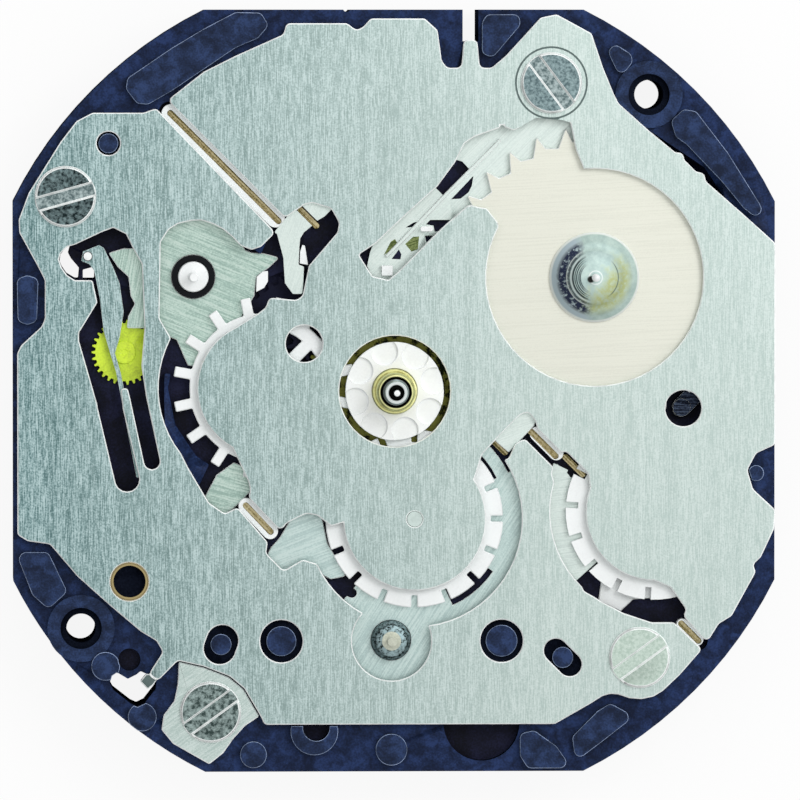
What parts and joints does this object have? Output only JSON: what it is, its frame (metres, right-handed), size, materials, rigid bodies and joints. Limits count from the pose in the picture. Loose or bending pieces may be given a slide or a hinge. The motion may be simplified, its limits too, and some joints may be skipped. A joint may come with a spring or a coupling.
{
  "type": "watch movement",
  "caption": "Round quartz watch movement with flats between its arcs, brushed dial-side plates, white index wheels, date wheel, hand pipes, button cell and gear train.",
  "frame": {"origin": "on the axis of the centre hands, at the outer face of the back cover", "axes": "+Z towards the dial side, +X towards the stem, +Y towards twelve o'clock"},
  "size_m": [0.024, 0.024, 0.0051],
  "materials": {
    "dark_plastic": "moulded, satin, dark blue-black",
    "bridge_plastic": "moulded, satin",
    "nickel_silver": "nickel plated, fine straight brushing",
    "spring_steel": "stamped spring sheet, brushed",
    "turned_steel": "turned, bright",
    "white_resin": "moulded acetal, satin white",
    "cream_disc": "cream plate, fine brushing",
    "green_resin": "moulded, yellow-green",
    "brass_part": "turned or stamped brass",
    "soft_iron": "annealed, grey",
    "copper_wire": "enamelled copper wire, wound",
    "magnet_grey": "sintered, dark grey",
    "cell_case": "nickel plated can",
    "board_resin": "laminate with solder mask",
    "chip_black": "moulded epoxy"
  },
  "bodies": {
    "movement": {"main_plate": "dark_plastic", "upper_plate": "nickel_silver", "lower_plate": "nickel_silver", "plate_screws": "turned_steel", "wheel_studs": "turned_steel", "centre_bush": "brass_part", "side_bush": "brass_part", "slot_claw": "spring_steel", "lower_claw": "spring_steel", "corner_claw": "spring_steel", "spring_finger": "spring_steel", "screw_bracket": "nickel_silver", "brass_strips": "brass_part", "slot_liners": "white_resin", "jumper_wire": "spring_steel", "white_spacer": "white_resin", "stator": "soft_iron", "coil_core": "soft_iron", "coil_winding": "copper_wire", "train_bridge": "bridge_plastic", "button_cell": "cell_case", "cell_contact": "brass_part", "circuit_board": "board_resin", "chip": "chip_black", "crystal": "cell_case", "back_cover": "nickel_silver", "back_screws": "turned_steel"},
    "left_index": {"index_wheel_left": "white_resin"},
    "centre_index": {"index_wheel_centre": "white_resin"},
    "right_index": {"index_wheel_right": "white_resin"},
    "left_jumper": {"jumper_left": "spring_steel", "left_collar": "bridge_plastic"},
    "bottom_jumper": {"jumper_bottom": "spring_steel"},
    "right_jumper": {"jumper_right": "spring_steel"},
    "date_lever": {"date_jumper": "spring_steel"},
    "blade": {"blade_lever": "spring_steel"},
    "stop": {"stop_lever": "spring_steel"},
    "green_gear": {"green_wheel": "green_resin"},
    "date": {"date_wheel": "cream_disc", "date_hub": "turned_steel"},
    "left_hand": {"left_hand_wheel": "white_resin"},
    "bottom_hand": {"bottom_hand_wheel": "turned_steel"},
    "seconds": {"seconds_wheel": "brass_part"},
    "third": {"third_wheel": "brass_part"},
    "minute": {"centre_wheel": "brass_part"},
    "motion": {"motion_wheel": "white_resin"},
    "hour": {"hour_wheel": "brass_part", "hour_cam": "white_resin"},
    "fifth": {"fifth_wheel": "brass_part"},
    "rotor_body": {"rotor": "turned_steel", "magnet": "magnet_grey"},
    "near_setting": {"near_setting_wheel": "white_resin"},
    "far_setting": {"far_setting_wheel": "white_resin"},
    "clutch": {"clutch_pinion": "turned_steel"},
    "setting": {"setting_lever": "turned_steel"},
    "yoke_body": {"yoke": "turned_steel"}
  },
  "joints": [
    {"name": "left_index_turn", "type": "hinge", "parent": "movement", "child": "left_index", "pos_m": [-0.0041, 0.0001, 0.0026], "axis": [0, 0, 1], "continuous": true},
    {"name": "centre_index_turn", "type": "hinge", "parent": "movement", "child": "centre_index", "pos_m": [0.00063, -0.00403, 0.0026], "axis": [0, 0, 1], "continuous": true},
    {"name": "right_index_turn", "type": "hinge", "parent": "movement", "child": "right_index", "pos_m": [0.0082, -0.0038, 0.0026], "axis": [0, 0, 1], "continuous": true},
    {"name": "left_jumper_swing", "type": "hinge", "parent": "movement", "child": "left_jumper", "pos_m": [-0.00633, 0.0036, 0.0026], "axis": [0, 0, 1], "range_deg": [-1, 1]},
    {"name": "bottom_jumper_swing", "type": "hinge", "parent": "movement", "child": "bottom_jumper", "pos_m": [-0.0001, -0.00787, 0.0026], "axis": [0, 0, 1], "range_deg": [-0.6, 0.6]},
    {"name": "right_jumper_swing", "type": "hinge", "parent": "movement", "child": "right_jumper", "pos_m": [0.00455, -0.0042, 0.0026], "axis": [0, 0, 1], "range_deg": [-1, 1]},
    {"name": "date_jumper_swing", "type": "hinge", "parent": "movement", "child": "date_lever", "pos_m": [0.0001, 0.00425, 0.0026], "axis": [0, 0, 1], "range_deg": [-0.8, 0.8]},
    {"name": "blade_lever_swing", "type": "hinge", "parent": "movement", "child": "blade", "pos_m": [-0.00965, 0.00425, 0.0026], "axis": [0, 0, 1], "range_deg": [-1, 1]},
    {"name": "stop_lever_swing", "type": "hinge", "parent": "movement", "child": "stop", "pos_m": [-0.0078, 0.0033, 0.0026], "axis": [0, 0, 1], "range_deg": [-2, 2]},
    {"name": "green_wheel_turn", "type": "hinge", "parent": "movement", "child": "green_gear", "pos_m": [-0.0085, 0.00122, 0.0026], "axis": [0, 0, 1], "continuous": true},
    {"name": "date_wheel_turn", "type": "hinge", "parent": "movement", "child": "date", "pos_m": [0.0063, 0.00358, 0.0026], "axis": [0, 0, 1], "continuous": true},
    {"name": "left_hand_turn", "type": "hinge", "parent": "movement", "child": "left_hand", "pos_m": [-0.00633, 0.0036, 0.0026], "axis": [0, 0, 1], "continuous": true},
    {"name": "bottom_hand_turn", "type": "hinge", "parent": "movement", "child": "bottom_hand", "pos_m": [-0.0001, -0.00787, 0.0026], "axis": [0, 0, 1], "continuous": true},
    {"name": "seconds_turn", "type": "hinge", "parent": "movement", "child": "seconds", "pos_m": [0, 0, 0.0026], "axis": [0, 0, 1], "continuous": true},
    {"name": "third_turn", "type": "hinge", "parent": "movement", "child": "third", "pos_m": [0.0022, -0.0007, 0.0026], "axis": [0, 0, 1], "continuous": true},
    {"name": "minute_turn", "type": "hinge", "parent": "movement", "child": "minute", "pos_m": [0, 0, 0.0026], "axis": [0, 0, 1], "continuous": true},
    {"name": "motion_turn", "type": "hinge", "parent": "movement", "child": "motion", "pos_m": [-0.00285, 0.0015, 0.0026], "axis": [0, 0, 1], "continuous": true},
    {"name": "hour_turn", "type": "hinge", "parent": "movement", "child": "hour", "pos_m": [0, 0, 0.0026], "axis": [0, 0, 1], "continuous": true},
    {"name": "fifth_turn", "type": "hinge", "parent": "movement", "child": "fifth", "pos_m": [-0.0009, -0.00196, 0.0026], "axis": [0, 0, 1], "continuous": true},
    {"name": "rotor_turn", "type": "hinge", "parent": "movement", "child": "rotor_body", "pos_m": [-0.0007, -0.00374, 0.0026], "axis": [0, 0, 1], "continuous": true},
    {"name": "near_setting_turn", "type": "hinge", "parent": "movement", "child": "near_setting", "pos_m": [0.00218, 0.00066, 0.0026], "axis": [0, 0, 1], "continuous": true},
    {"name": "far_setting_turn", "type": "hinge", "parent": "movement", "child": "far_setting", "pos_m": [0.00453, 0.0012, 0.0026], "axis": [0, 0, 1], "continuous": true},
    {"name": "clutch_slide", "type": "slide", "parent": "movement", "child": "clutch", "axis": [1, 0, 0], "range_m": [-0.0005, 0]},
    {"name": "setting_lever_swing", "type": "hinge", "parent": "movement", "child": "setting", "pos_m": [0.0102, 0.00175, 0.0026], "axis": [0, 0, 1], "range_deg": [0, 9]},
    {"name": "yoke_swing", "type": "hinge", "parent": "movement", "child": "yoke_body", "pos_m": [0.0071, -0.00265, 0.0026], "axis": [0, 0, 1], "range_deg": [0, 11]}
  ],
  "couplings": [
    {"joint": "third_turn", "follows": "seconds_turn", "ratio": -0.13333},
    {"joint": "minute_turn", "follows": "seconds_turn", "ratio": 0.016667},
    {"joint": "motion_turn", "follows": "seconds_turn", "ratio": -0.008333},
    {"joint": "hour_turn", "follows": "seconds_turn", "ratio": 0.0013889},
    {"joint": "near_setting_turn", "follows": "seconds_turn", "ratio": -0.015},
    {"joint": "far_setting_turn", "follows": "seconds_turn", "ratio": 0.015},
    {"joint": "fifth_turn", "follows": "seconds_turn", "ratio": -5},
    {"joint": "rotor_turn", "follows": "seconds_turn", "ratio": 30},
    {"joint": "setting_lever_swing", "follows": "clutch_slide", "rad_per_m": -314.16},
    {"joint": "yoke_swing", "follows": "clutch_slide", "rad_per_m": -377}
  ]
}
